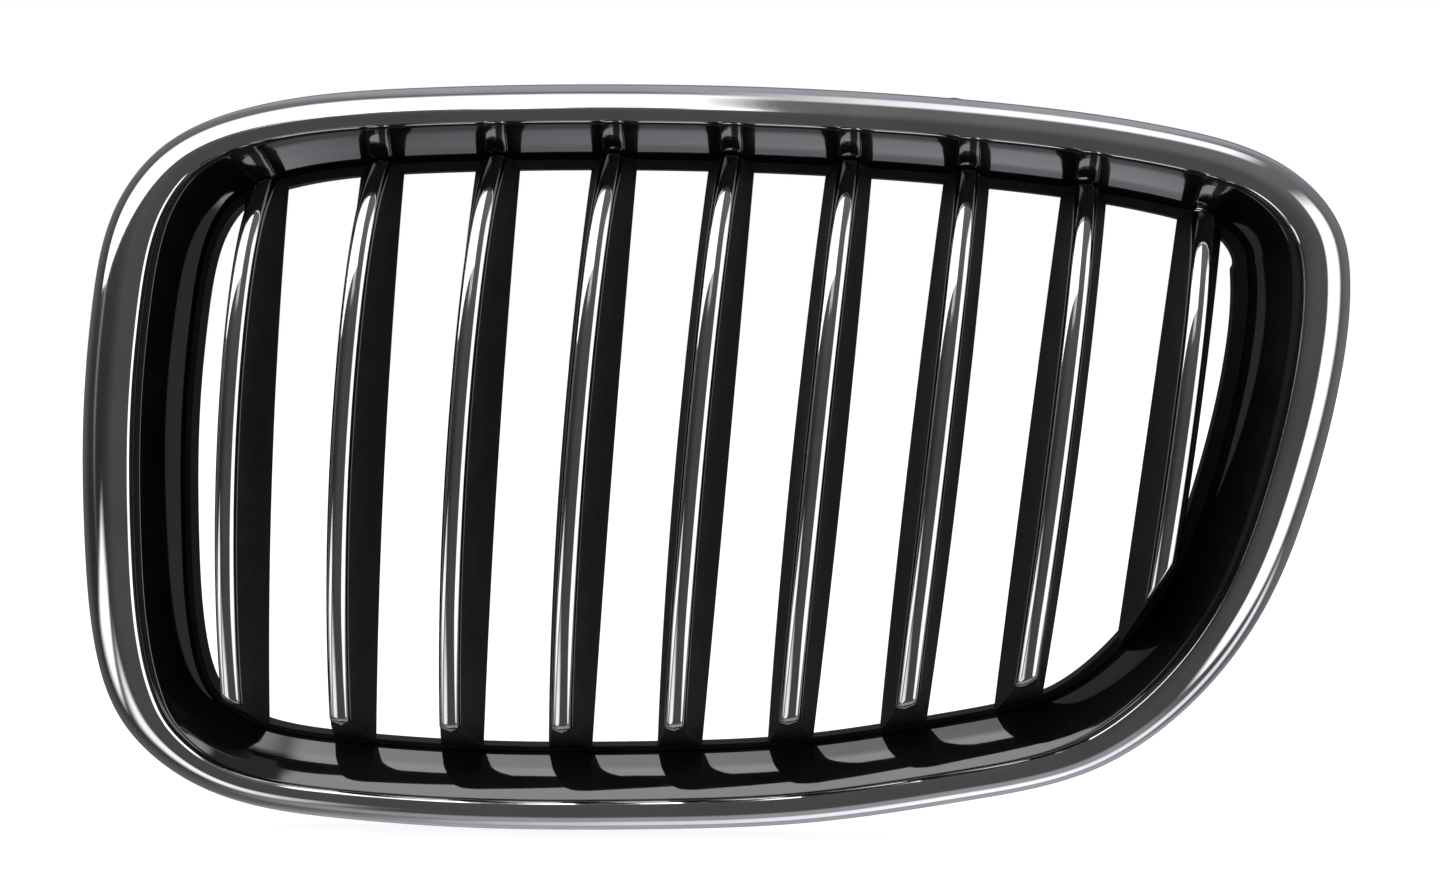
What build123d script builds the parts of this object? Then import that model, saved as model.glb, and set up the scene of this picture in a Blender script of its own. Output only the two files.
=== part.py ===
"""Front grille, the left-hand half of a split pair, as an assembly of separate pieces.

X runs to the right seen from the front, Y to the rear, Z up, all in millimetres. The model is
worked out about the middle of the centre fin's nose and is then moved so that the origin lies at
the middle of the upper pair of screw holes, on the rear face of their ears.
"""

from build123d import *
import math
import os

# Outer edge of the bright surround seen from the front, as (x, z), anticlockwise from the top.
OUTLINE = [
    (-33, 115), (-98, 114.3), (-149, 109.2), (-179, 96.7), (-194.5, 77.5), (-203.5, 45),
    (-208.5, 10), (-212.5, -35), (-214, -70), (-208.5, -100), (-187.5, -122.5), (-141, -134.5),
    (-84, -137.5), (-28, -136.7), (27, -133.3), (82, -124), (125, -111.5), (153, -89.5),
    (176.5, -54), (189.5, -14), (197, 24.5), (198.7, 50), (195.6, 68.5), (180, 87.5),
    (147, 100), (93, 108.2), (43, 112.4),
]
STATIONS = 56            # sections taken round the outline
# Every step inwards is longer at the two sides and the bottom, and shorter at the top.
SIDE_GAIN, TOP_GAIN, BOTTOM_GAIN = 0.15, -0.07, 0.03

# The bowed sheet that the rear frame follows: y over the grille, from its slopes and bows.
REAR_DEPTH = 30.4
REAR_SLOPE_X, REAR_BOW_X = 0.021, 0.0002
REAR_SLOPE_Z, REAR_BOW_Z = -0.187, 0.0014
# The sheet that the fin noses follow.
NOSE_SLOPE_X, NOSE_BOW_X = 0.020, 0.00036
NOSE_SLOPE_Z, NOSE_BOW_Z = -0.160, 0.0022
NOSE_PROUD = 3.0         # how far the noses stand in front of that sheet
TUCK, TUCK_REACH = 14.5, 14.0    # how far, and how near their tops, the noses curl back

# Fins
SLATS = 9
PITCH = 38.28            # from one fin to the next, square across the grille
CENTRE_X = -6.1          # centre fin at mid height
LEAN = math.tan(math.radians(6.1))
NOSE_HALF = 3.7          # half width of the bright strip
FRONT_HALF = 3.5         # half width of a fin just behind its strip
REAR_HALF = 4.9          # half width of a fin's rear, before its spread with depth
REAR_SPREAD = 0.15       # further half width per millimetre of the fin's depth
FOOT_SLOPE = 21.5        # degrees, the fins' feet against the draw direction
FOOT_CUTTER = (60, 200, 80)      # the block that trims a foot: wide, deep, tall
TENON_WIDE, TENON_TALL, TENON_DEEP = 6, 2.0, 5
TENON_ROOT, TENON_STEP = 3, 0.3  # into the fin, and in from the fin's end
PAST_FOOT, PAST_TOP = 15, 7      # how far a fin runs past its ends before it is trimmed
CAP_DEEP = 3.4           # strip, from its nose to the fin
GLUE_LINE = 0.05         # between a strip and its fin
FIN_LEVELS = 16          # sections up a fin

# Corners of the sections that run round the outline: the step inwards from the outer edge, and
# the depth from the rear sheet, negative to the front. Up to three more values lengthen the step
# at both sides, at the left side alone, and along the bottom.
EDGE_OUT, LIP_OUT, LIP_LEFT, LIP_LOW = -2.2, -1.4, 2.4, -3.0
LIP_STEPS = (LIP_OUT, LIP_LEFT, LIP_LOW)
RING_OUTER_SKIN = [
    (0, -8, EDGE_OUT, 0, EDGE_OUT), (0.2, -15, EDGE_OUT, 0, EDGE_OUT),
    (1.8, -22, -2.0, 0, -2.0), (5.2, -26.8, -1.7, 0.6, -2.1),
    (9.4, -28.6, -1.5, 1.5, -2.4), (13.4, -27.3, *LIP_STEPS),
]
RING_LIP = [
    (14.2, -26.2, *LIP_STEPS), (14.2, -24, *LIP_STEPS), (12.2, -24, *LIP_STEPS),
    (12, -25.2, *LIP_STEPS),
]
RING_INNER_SKIN = [
    (12, -25.2, *LIP_STEPS), (9.3, -26.3, -1.5, 1.5, -2.4), (6.3, -24.9, -1.7, 0.6, -2.1),
    (3.8, -21, -2.0, 0, -2.0), (2.5, -14.8, EDGE_OUT, 0, EDGE_OUT),
    (2.4, -8, EDGE_OUT, 0, EDGE_OUT),
]
LAND = 1.6               # a flat land in front of the collar's wall, at the two sides only
SLEEVE_IN, SLEEVE_OUT = 22.6, -0.6   # outside of the collar's sleeve
COLLAR_SECTION = [
    (14.3, -24, *LIP_STEPS), (14.6, -24, LIP_OUT + LAND, LIP_LEFT, LIP_LOW),
    (17.6, -20.6, 0, 1.6, -2.2), (20.8, -14, -0.4, 0.8, -1.1), (25, -2, SLEEVE_OUT),
    (25, 5, SLEEVE_OUT), (SLEEVE_IN, 5, SLEEVE_OUT), (SLEEVE_IN, -1.5, SLEEVE_OUT),
    (18.3, -13.4, -0.4, 0.8, -1.1), (13.9, -20, 0, LIP_LEFT, -2.6),
    (13.9, -15.4, 0, LIP_LEFT, -2.6), (3.2, -15.4, -1.5, 0, -1.7), (3.2, -18.4, -1.5, 0, -1.7),
    (11.6, -18.4, *LIP_STEPS), (11.6, -23.7, *LIP_STEPS),
]
OPENING_LEFT, OPENING_LOW = -2.2, -1.6
FRAME_FRONT, FRAME_STEP, FRAME_REAR = -2, 5.15, 7.4
FRAME_IN, FRAME_WALL, FRAME_OUT = 28.6, 25.15, 22.8
FRAME_SECTION = [
    (FRAME_WALL, FRAME_FRONT, SLEEVE_OUT), (FRAME_IN, FRAME_FRONT, 0, OPENING_LEFT, OPENING_LOW),
    (FRAME_IN, FRAME_REAR, 0, OPENING_LEFT, OPENING_LOW), (FRAME_OUT, FRAME_REAR, SLEEVE_OUT),
    (FRAME_OUT, FRAME_STEP, SLEEVE_OUT), (FRAME_WALL, FRAME_STEP, SLEEVE_OUT),
]
SOCKET_IN = 25.7         # the fins' ends stop this far in from the outline
# What is taken off the fins so that their tops follow the collar's wall with a small gap.
FIN_STOP = [
    (10.3, -34, 0.8, 2.6), (21.1, -14, 0, 0.8), (25.25, -2, SLEEVE_OUT),
    (SOCKET_IN, -1.9, SLEEVE_OUT), (SOCKET_IN, 14, SLEEVE_OUT), (5, 14), (5, -34),
]
FIN_ROOM = 9             # the fins stay further in than this everywhere
FLANGE_REAR, FLANGE_FRONT = -15.4, -18.4
FAR = 300                # a length that reaches past the whole grille

# Fasteners and fixings
FRAME_SCREW_AT = [0.03, 0.13, 0.25, 0.37, 0.47, 0.6, 0.74, 0.88]
RING_SCREW_AT = [0.0, 0.1, 0.21, 0.33, 0.44, 0.55, 0.68, 0.8, 0.92]
CLIP_AT = [0.06, 0.29, 0.41, 0.51, 0.83, 0.96]
SCREW_R, HEAD_R, HEAD_H = 1.5, 2.9, 2.0
SLOT_LONG, SLOT_WIDE, SLOT_DEEP = 3.5, 0.8, 0.8   # the cross in a screw's head
FRAME_SCREW_LONG, RING_SCREW_LONG = 11, 7.4
RING_SCREW_LIFT = 0.6    # the surround's screws are sunk this far into the flange
FRAME_BOSS_R, FRAME_BOSS_IN, FRAME_BOSS_LONG = 3.4, 18.4, 9
RING_BOSS_R, RING_BOSS_FRONT = 2.6, -24.4
RING_BOSS_IN, RING_BOSS_STEPS = 7.2, (-1.7, 0.6, -2.4)
CLEARANCE = 0.05
FRAME_TAB_SHARE = 0.005  # half width of the slat frame's screw tabs, as a share of the way round
FRAME_TAB_PAST = 0.5     # the tabs reach this far past their posts
TAB_IN, TAB_WIDE, TAB_DEEP, TAB_THICK = 8.5, 12, 14, 2.4
TAB_ROOT = 1             # into the flange
CLIP_WIDE, CLIP_METAL = 9, 0.8
CLIP_FOOT = 4            # a clip starts this far behind the flange
LIP_REACH, BARB_REACH = 2.6, 3.4   # a clip's bent lip and its barb, out from the tab

UPPER_X, LOWER_X = (-125, 75), (-125, 25)
UPPER_Y, UPPER_Z = 34, 103
LOWER_Y, LOWER_Z = 76, -124
EAR_HALF, EAR_THICK, SCREW_HOLE_R = 8.5, 3.2, 2.75
EAR_ROOT, EAR_CLEAR, EAR_SHELF = 0.6, 1.9, 4.5    # in and out from the sleeve's outer side
EAR_GRIP = 5.5           # the length of sleeve that an ear holds on to
WEB_AHEAD = 1            # an ear's web starts this far in front of the rear sheet
RIB_THICK, RIB_TIP = 1.6, 2
HOLE_FRONT, HOLE_REAR = 12, 8    # how far a screw hole's tool reaches past an ear's rear face
PINS = [(-198.5, -5), (184, 22)]
PIN_SHOULDER_Y, PIN_LONG, PIN_R, PIN_BOSS_R = 40, 10, 3.0, 4.6
PIN_TIP_R, PIN_TIP_LONG = 1.8, 2
PIN_ROOT = 1.5           # into the flange

DATUM = Vector(sum(UPPER_X) / 2, UPPER_Y, UPPER_Z)


def rear_y(x, z):
    """Depth of the rear sheet."""
    return REAR_DEPTH + (REAR_SLOPE_X + REAR_BOW_X * x) * x + (REAR_SLOPE_Z + REAR_BOW_Z * z) * z


def nose_y(x, z):
    """Depth of the sheet just behind the fin noses."""
    return (NOSE_SLOPE_X + NOSE_BOW_X * x) * x + (NOSE_SLOPE_Z + NOSE_BOW_Z * z) * z


def curled_nose_y(x, z, top):
    """Depth of a fin's nose, which curls back as it nears its top."""
    share = math.exp(min((z - top) / TUCK_REACH, 0.1))
    return nose_y(x, z) - NOSE_PROUD + TUCK * share


OUTER_EDGE = Spline([(x, 0, z) for x, z in OUTLINE], periodic=True)


def station(t):
    """The point and the outward normal at a share t of the way round the outline."""
    point = OUTER_EDGE.position_at(t % 1.0)
    tangent = OUTER_EDGE.tangent_at(t % 1.0)
    return point, Vector(tangent.Z, 0, -tangent.X)


def place(t, inwards, depth, side=0.0, left=0.0, low=0.0):
    """A point that lies a step inwards from the outline and a depth from the rear sheet."""
    point, normal = station(t)
    across, upright = normal.X**2, normal.Z**2
    step = inwards + side * across
    if normal.X < 0:
        step += left * across
    if normal.Z < 0:
        step += low * upright
    step *= 1 + SIDE_GAIN * across + (TOP_GAIN if normal.Z > 0 else BOTTOM_GAIN) * upright
    x = point.X - normal.X * step
    z = point.Z - normal.Z * step
    return Vector(x, rear_y(x, z) + depth, z)


def ring_of(section_at):
    """A closed ring, lofted in two halves through sections round the outline."""
    half = STATIONS // 2
    first = loft([section_at(k / STATIONS) for k in range(half + 1)])
    second = loft([section_at(k / STATIONS) for k in range(half, STATIONS + 1)])
    return first + second


def polygon_section(points):
    """A function that gives the section with these corners at a share t of the way round."""

    def at(t):
        corners = [place(t, *p) for p in points]
        return Face(Wire(Polyline(corners, close=True).edges()))

    return at


def surround_section(t):
    """The bright moulding: a convex outer skin, a small lip, and an inner skin."""
    outer = Spline([place(t, *p) for p in RING_OUTER_SKIN])
    lip = Polyline([place(t, *p) for p in [RING_OUTER_SKIN[-1]] + RING_LIP])
    inner = Spline([place(t, *p) for p in RING_INNER_SKIN])
    back = Line(place(t, *RING_INNER_SKIN[-1]), place(t, *RING_OUTER_SKIN[0]))
    return Face(Wire(outer.edges() + lip.edges() + inner.edges() + back.edges()))


def inset_face(inwards, side=0.0):
    """The flat area inside the outline stepped inwards, at y = 0."""
    points = [place(k / STATIONS, inwards, 0, side) for k in range(STATIONS)]
    return Face(Wire([Spline([(p.X, 0, p.Z) for p in points], periodic=True)]))


def crossings(face, foot, top):
    """The lowest and the highest z at which the line from foot to top runs inside a flat area."""
    inside = Edge.make_line(foot, top).intersect(face)
    heights = [v.Z for v in inside.vertices()]
    return min(heights), max(heights)


def turned(t):
    """The turn about Y that carries straight up onto the outward normal at t."""
    normal = station(t)[1]
    return Rot(0, math.degrees(math.atan2(normal.X, normal.Z)), 0)


def rod(x, z, y_from, y_to, radius):
    """A round bar that runs along Y."""
    length = y_to - y_from
    return Pos(x, (y_from + y_to) / 2, z) * Rot(90, 0, 0) * Cylinder(radius, length)


# ---- fins and their bright strips -------------------------------------------------------


def fin_x(number, z):
    """The middle of a fin at height z."""
    return CENTRE_X + (number - (SLATS - 1) / 2) * PITCH + LEAN * z


def fin_levels(low, high):
    """Heights of the sections up a fin, past both of its ends."""
    start, end = low - PAST_FOOT, high + PAST_TOP
    return [start + (end - start) * k / (FIN_LEVELS - 1) for k in range(FIN_LEVELS)]


def wedge(number, low, high):
    """A fin, untrimmed: narrow behind the strip, wider at the rear."""
    sections = []
    for z in fin_levels(low, high):
        x = fin_x(number, z)
        front = curled_nose_y(x, z, high) + CAP_DEEP + GLUE_LINE
        rear = rear_y(x, z)
        rear_half = REAR_HALF + REAR_SPREAD * (rear - nose_y(x, z) - CAP_DEEP)
        corners = [
            (x - FRONT_HALF, front, z),
            (x + FRONT_HALF, front, z),
            (x + rear_half, rear, z),
            (x - rear_half, rear, z),
        ]
        sections.append(Face(Wire(Polyline(corners, close=True).edges())))
    return loft(sections)


def half_round(number, low, high):
    """A bright strip, untrimmed: half round, on the front of a fin."""
    sections = []
    for z in fin_levels(low, high):
        x = fin_x(number, z)
        nose = curled_nose_y(x, z, high)
        left = (x - NOSE_HALF, nose + CAP_DEEP, z)
        right = (x + NOSE_HALF, nose + CAP_DEEP, z)
        bow = ThreePointArc(left, (x, nose, z), right)
        sections.append(Face(Wire(bow.edges() + Line(right, left).edges())))
    return loft(sections)


def foot_cut(number, z):
    """The space below a fin's sloping foot, which rises forwards from the frame."""
    x = fin_x(number, z)
    block = Box(*FOOT_CUTTER, align=(Align.CENTER, Align.CENTER, Align.MAX))
    return Pos(x, rear_y(x, z) + FRAME_FRONT, z) * Rot(-FOOT_SLOPE, 0, 0) * block


def tenon(number, z, inwards):
    """The block at a fin's end that goes through the frame; inwards is +1 at the foot."""
    x = fin_x(number, z)
    middle = z + inwards * (TENON_TALL / 2 + TENON_STEP)
    y_from = rear_y(x, middle) - TENON_ROOT
    y_to = rear_y(x, middle) + TENON_DEEP
    return Pos(x, (y_from + y_to) / 2, middle) * Box(TENON_WIDE, y_to - y_from, TENON_TALL)


def fin_and_strip(number, area, room, stop):
    """One fin with its tenons, and its bright strip, trimmed to the collar's wall."""
    foot, top = (fin_x(number, -FAR), 0, -FAR), (fin_x(number, FAR), 0, FAR)
    low, high = crossings(area, foot, top)
    below = foot_cut(number, low)
    fin = (wedge(number, low, high) & room) - below
    fin += tenon(number, low, 1)
    fin += tenon(number, high, -1)
    strip = (half_round(number, low, high) & room) - below
    return fin - stop, strip - stop


# ---- fasteners --------------------------------------------------------------------------


def screw(x, z, seat_y, shank):
    """A small round-headed screw driven forwards, its head's underside at seat_y."""
    body = rod(x, z, seat_y - shank, seat_y, SCREW_R) + rod(x, z, seat_y, seat_y + HEAD_H, HEAD_R)
    cross = Box(SLOT_LONG, HEAD_H, SLOT_WIDE) + Box(SLOT_WIDE, HEAD_H, SLOT_LONG)
    return body - Pos(x, seat_y + HEAD_H * 1.5 - SLOT_DEEP, z) * cross


def frame_screws():
    """The screws through the tabs of the slat frame."""
    made = []
    for t in FRAME_SCREW_AT:
        p = place(t, FRAME_BOSS_IN, 0)
        seat = footprint(t, HEAD_R, FRAME_BOSS_IN, FRAME_REAR)[1]
        made.append(screw(p.X, p.Z, seat, FRAME_SCREW_LONG))
    return made


def surround_screws():
    """The screws through the collar's flange into the surround."""
    made = []
    for t in RING_SCREW_AT:
        p = place(t, RING_BOSS_IN, FLANGE_REAR, *RING_BOSS_STEPS)
        made.append(screw(p.X, p.Z, p.Y - RING_SCREW_LIFT, RING_SCREW_LONG))
    return made


def body_clip(t):
    """A bent spring clip, a U over the collar's tab with a barb that springs outwards."""
    gap, metal, foot, end = TAB_THICK / 2, CLIP_METAL, CLIP_FOOT, TAB_DEEP
    profile = [
        (-gap, foot), (-gap, end), (gap, end), (gap, foot + 1.5), (gap + LIP_REACH, foot - 0.6),
        (gap + LIP_REACH + 0.3, foot + 0.1), (gap + metal, foot + 2), (gap + metal, end - 2.5),
        (gap + BARB_REACH, end - 6.5), (gap + BARB_REACH + 0.7, end - 6.1),
        (gap + metal, end + metal), (-gap - metal, end + metal), (-gap - metal, foot),
    ]
    outline = Polyline([(0, y, r) for r, y in profile], close=True)
    strip = extrude(Face(Wire(outline.edges())), CLIP_WIDE / 2, dir=(1, 0, 0), both=True)
    p = place(t, TAB_IN, FLANGE_REAR)
    return Pos(p.X, p.Y, p.Z) * turned(t) * strip


# ---- rings ------------------------------------------------------------------------------


def frame_tabs():
    """Tabs on the slat frame that its screws go through."""
    outer = FRAME_BOSS_IN - FRAME_BOSS_R - FRAME_TAB_PAST
    inner = FRAME_OUT + TAB_ROOT
    corners = [
        (outer, FRAME_STEP), (inner, FRAME_STEP), (inner, FRAME_REAR), (outer, FRAME_REAR),
    ]
    section = polygon_section(corners)
    share = FRAME_TAB_SHARE
    return [loft([section(t - share), section(t + share)]) for t in FRAME_SCREW_AT]


def footprint(t, radius, inwards, depth, *steps):
    """How far forward and back a face at this depth comes within a radius of a place on it."""
    ys = []
    for along, across in [(0, radius), (0, -radius), (radius, 0), (-radius, 0)]:
        p = place(t, inwards + across, depth, *steps)
        normal = station(t)[1]
        ys.append(rear_y(p.X + normal.Z * along, p.Z - normal.X * along) + depth)
    return min(ys), max(ys)


def frame_bosses():
    """Round posts on the collar that the frame screws bite in."""
    made = []
    for t in FRAME_SCREW_AT:
        p = place(t, FRAME_BOSS_IN, 0)
        end = footprint(t, FRAME_BOSS_R, FRAME_BOSS_IN, FRAME_STEP)[0]
        made.append(rod(p.X, p.Z, p.Y - FRAME_BOSS_LONG, end, FRAME_BOSS_R))
    return made


def surround_bosses():
    """Round posts inside the surround that its screws bite in."""
    made = []
    for t in RING_SCREW_AT:
        p = place(t, RING_BOSS_IN, RING_BOSS_FRONT, *RING_BOSS_STEPS)
        flange = footprint(t, RING_BOSS_R, RING_BOSS_IN, FLANGE_FRONT, *RING_BOSS_STEPS)[0]
        made.append(rod(p.X, p.Z, p.Y, flange - CLEARANCE, RING_BOSS_R))
    return made


def clip_tabs():
    """Flat tabs on the collar that carry the spring clips."""
    made = []
    for t in CLIP_AT:
        p = place(t, TAB_IN, FLANGE_REAR)
        tab = Box(TAB_WIDE, TAB_DEEP + TAB_ROOT, TAB_THICK)
        tab = Pos(0, (TAB_DEEP - TAB_ROOT) / 2, 0) * tab
        made.append(Pos(p.X, p.Y, p.Z) * turned(t) * tab)
    return made


def ear(x, y, z, sleeve_z):
    """A screw ear: a plate with a rounded end, a web to the collar, and two ribs."""
    way = math.copysign(1, z)
    root = sleeve_z - way * EAR_ROOT
    clear = sleeve_z + way * EAR_CLEAR
    shelf = sleeve_z + way * EAR_SHELF
    y_web = rear_y(x, sleeve_z) - WEB_AHEAD
    made = rod(x, z, y - EAR_THICK, y, EAR_HALF)
    for y_from, y_to, z_from, z_to in [
        (y - EAR_THICK, y, shelf, z),
        (y_web, y, clear, shelf),
        (y_web, y_web + EAR_GRIP, root, shelf),
    ]:
        block = Box(2 * EAR_HALF, y_to - y_from, abs(z_to - z_from))
        made += Pos(x, (y_from + y_to) / 2, (z_from + z_to) / 2) * block
    for side in (-1, 1):
        corners = [(y - 1, shelf), (y - 1, z + way * RIB_TIP), (y_web, shelf)]
        rib = Polyline([(x, a, b) for a, b in corners], close=True)
        rib = extrude(Face(Wire(rib.edges())), RIB_THICK / 2, dir=(1, 0, 0), both=True)
        made += Pos(side * (EAR_HALF - RIB_THICK / 2), 0, 0) * rib
    return made


def ears():
    """The four screw ears, before their holes are made."""
    sleeve = inset_face(SLEEVE_IN, SLEEVE_OUT)
    made = []
    for x in UPPER_X:
        top = crossings(sleeve, (x, 0, -FAR), (x, 0, FAR))[1]
        made.append(ear(x, UPPER_Y, UPPER_Z, top))
    for x in LOWER_X:
        low = crossings(sleeve, (x, 0, -FAR), (x, 0, FAR))[0]
        made.append(ear(x, LOWER_Y, LOWER_Z, low))
    return made


def ear_holes():
    """What the body screws take out of the ears."""
    places = [(x, UPPER_Y, UPPER_Z) for x in UPPER_X] + [(x, LOWER_Y, LOWER_Z) for x in LOWER_X]
    return [rod(x, z, y - HOLE_FRONT, y + HOLE_REAR, SCREW_HOLE_R) for x, y, z in places]


def locating_pins():
    """Two bosses on the flange, each with a pin that finds its hole in the body."""
    made = []
    for x, z in PINS:
        start = rear_y(x, z) + FLANGE_REAR - PIN_ROOT
        end = PIN_SHOULDER_Y + PIN_LONG
        tip = Rot(-90, 0, 0) * Cone(PIN_R, PIN_TIP_R, PIN_TIP_LONG)
        made.append(rod(x, z, start, PIN_SHOULDER_Y, PIN_BOSS_R))
        made.append(rod(x, z, PIN_SHOULDER_Y - 1, end, PIN_R))
        made.append(Pos(x, end + PIN_TIP_LONG / 2, z) * tip)
    return made


def build():
    """Every piece by name, about the middle of the centre fin's nose."""
    area = inset_face(SOCKET_IN, SLEEVE_OUT)
    room = extrude(inset_face(FIN_ROOM), FAR, dir=(0, 1, 0), both=True)
    stop = ring_of(polygon_section(FIN_STOP))
    pieces = {}
    fins = []
    for number in range(SLATS):
        fin, strip = fin_and_strip(number, area, room, stop)
        fins.append(fin)
        pieces[f"slat_{number + 1}"] = fin
        pieces[f"slat_cap_{number + 1}"] = strip
    frame_fixings = frame_screws()
    surround_fixings = surround_screws()
    frame = ring_of(polygon_section(FRAME_SECTION)) + frame_tabs()
    frame = frame - fins - frame_fixings
    collar = ring_of(polygon_section(COLLAR_SECTION))
    collar = collar + frame_bosses() + ears() + locating_pins() + clip_tabs()
    surround = ring_of(surround_section) + surround_bosses()
    surround = surround - surround_fixings
    collar = collar - ear_holes() - frame_fixings - surround_fixings
    collar = max(collar.solids(), key=lambda solid: solid.volume)  # without the holes' crumbs
    pieces["chrome_surround"] = surround
    pieces["collar"] = collar
    pieces["slat_frame"] = frame
    pieces["surround_screws"] = Compound(children=surround_fixings)
    pieces["frame_screws"] = Compound(children=frame_fixings)
    pieces["body_clips"] = Compound(children=[body_clip(t) for t in CLIP_AT])
    return pieces


os.makedirs("parts", exist_ok=True)
for name, piece in build().items():
    export_step(Pos(-DATUM.X, -DATUM.Y, -DATUM.Z) * piece, f"parts/{name}.step")
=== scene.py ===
"""Front grille, left-hand half of a split pair: the finished look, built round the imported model.

Lengths are worked out in millimetres about the middle of the centre fin's nose, with X to the
right, Y to the rear and Z up, and every mesh is then moved to the model's own origin, at the
middle of the upper screw holes, and written in metres.
"""

import math
import bpy
import numpy as np
from mathutils import Matrix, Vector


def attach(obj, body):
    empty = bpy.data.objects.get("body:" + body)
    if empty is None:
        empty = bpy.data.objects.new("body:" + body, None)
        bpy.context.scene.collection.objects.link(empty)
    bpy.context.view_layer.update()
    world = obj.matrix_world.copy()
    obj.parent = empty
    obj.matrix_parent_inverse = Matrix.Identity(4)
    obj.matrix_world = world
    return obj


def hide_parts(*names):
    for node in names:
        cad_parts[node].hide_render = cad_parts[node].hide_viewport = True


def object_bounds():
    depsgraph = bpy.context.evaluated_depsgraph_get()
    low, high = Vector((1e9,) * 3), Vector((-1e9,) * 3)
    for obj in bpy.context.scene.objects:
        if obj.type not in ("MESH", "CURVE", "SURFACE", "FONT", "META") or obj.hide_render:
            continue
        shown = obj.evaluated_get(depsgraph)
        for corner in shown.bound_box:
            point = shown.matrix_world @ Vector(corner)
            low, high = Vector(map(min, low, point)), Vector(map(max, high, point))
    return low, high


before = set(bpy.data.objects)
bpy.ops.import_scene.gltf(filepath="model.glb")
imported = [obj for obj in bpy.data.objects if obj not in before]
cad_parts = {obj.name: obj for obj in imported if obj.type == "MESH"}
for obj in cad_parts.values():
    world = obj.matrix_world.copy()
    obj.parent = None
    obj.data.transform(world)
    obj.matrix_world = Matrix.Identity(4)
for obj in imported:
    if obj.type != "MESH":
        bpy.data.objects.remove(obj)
cad_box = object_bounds()

MM = 0.001
DATUM = np.array([-25.0, 34.0, 103.0])   # the model's origin, from the centre fin's nose

# Outer edge of the bright surround seen from the front, as (x, z).
OUTLINE = [
    (-33, 115), (-98, 114.3), (-149, 109.2), (-179, 96.7), (-194.5, 77.5), (-203.5, 45),
    (-208.5, 10), (-212.5, -35), (-214, -70), (-208.5, -100), (-187.5, -122.5), (-141, -134.5),
    (-84, -137.5), (-28, -136.7), (27, -133.3), (82, -124), (125, -111.5), (153, -89.5),
    (176.5, -54), (189.5, -14), (197, 24.5), (198.7, 50), (195.6, 68.5), (180, 87.5),
    (147, 100), (93, 108.2), (43, 112.4),
]
ROUND = 640              # stations round the outline
# Every step inwards is longer at the two sides and the bottom, and shorter at the top.
SIDE_GAIN, TOP_GAIN, BOTTOM_GAIN = 0.15, -0.07, 0.03

# What single steps gain at both sides, at the left side alone, and along the bottom.
EDGE_SIDE, LIP_SIDE, LIP_LEFT, LIP_LOW = -2.2, -1.4, 2.4, -3.0
LIP_STEPS = (LIP_SIDE, LIP_LEFT, LIP_LOW)
BOSS_STEPS = (-1.7, 0.6, -2.4)
SLEEVE_SIDE, OPENING_LEFT, OPENING_LOW = -0.6, -2.2, -1.6
LAND = 1.6               # a flat land in front of the funnel's wall, at the two sides only

# The two bowed sheets: slope and bow along x, then along z.
REAR_DEPTH, REAR_X, REAR_Z = 30.4, (0.021, 0.0002), (-0.187, 0.0014)
NOSE_X, NOSE_Z = (0.020, 0.00036), (-0.160, 0.0022)

# Fins and their strips
SLATS = 9
PITCH = 38.28            # from one fin to the next
CENTRE_X = -6.1          # centre fin at mid height
LEAN = math.tan(math.radians(6.1))
NOSE_HALF, FRONT_HALF = 3.7, 3.5         # half widths of a strip, and of the fin behind it
REAR_HALF, REAR_SPREAD = 4.9, 0.15       # a fin's rear half width, and its gain with depth
CAP_DEEP, GLUE_LINE = 3.4, 0.05
NOSE_PROUD, TUCK, TUCK_REACH = 3.0, 14.5, 14.0
FOOT_RISE = math.tan(math.radians(21.5))
SOCKET_IN = 25.7         # the fins' ends stop this far in from the outline
WALL_DEPTH, WALL_IN = [-34, -14, -2], [9.9, 20.3, 25.25]     # what the fins' tops follow
FIN_LEVELS, STRIP_LEVELS, STRIP_END_LEVELS = 120, 140, 8
STRIP_END = 0.02         # the share of a strip at each end that has its own levels
FOOT_ROUND, TOP_ROUND, TOP_LEAST = 2.2, 0.7, 0.8     # a strip's rounded ends
SETTLING = 16            # how often the heights of a column are worked out again

# Rear frame and flange
FRAME_FRONT, FRAME_STEP, FRAME_REAR = -2.0, 5.15, 7.4
FRAME_TAB_IN, FRAME_TAB_OUT, FRAME_TAB_HALF = 23.8, 14.6, 2.8
FLANGE_REAR, FLANGE_FRONT = -15.4, -18.4

# Fasteners and fixings, as shares of the way round
FRAME_SCREW_AT = [0.03, 0.13, 0.25, 0.37, 0.47, 0.6, 0.74, 0.88]
RING_SCREW_AT = [0.0, 0.1, 0.21, 0.33, 0.44, 0.55, 0.68, 0.8, 0.92]
CLIP_AT = [0.06, 0.29, 0.41, 0.51, 0.83, 0.96]
SCREW_R, HEAD_R, HEAD_H = 1.5, 2.9, 2.0
FRAME_SCREW_LONG, RING_SCREW_LONG = 11, 7.4
RING_SCREW_LIFT, FRAME_SCREW_LIFT = 0.6, 0.8
RING_BOSS_IN, RING_BOSS_R, RING_BOSS_FRONT, RING_BOSS_REAR = 7.2, 2.6, -24.4, -19.6
FRAME_BOSS_IN, FRAME_BOSS_R, FRAME_BOSS_REAR = 18.4, 3.4, 4
TAB_IN, TAB_HALF, TAB_DEEP, TAB_THICK = 8.5, 6, 14, 2.4
CLIP_WIDE, CLIP_METAL, CLIP_FOOT = 9, 0.8, 4

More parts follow.
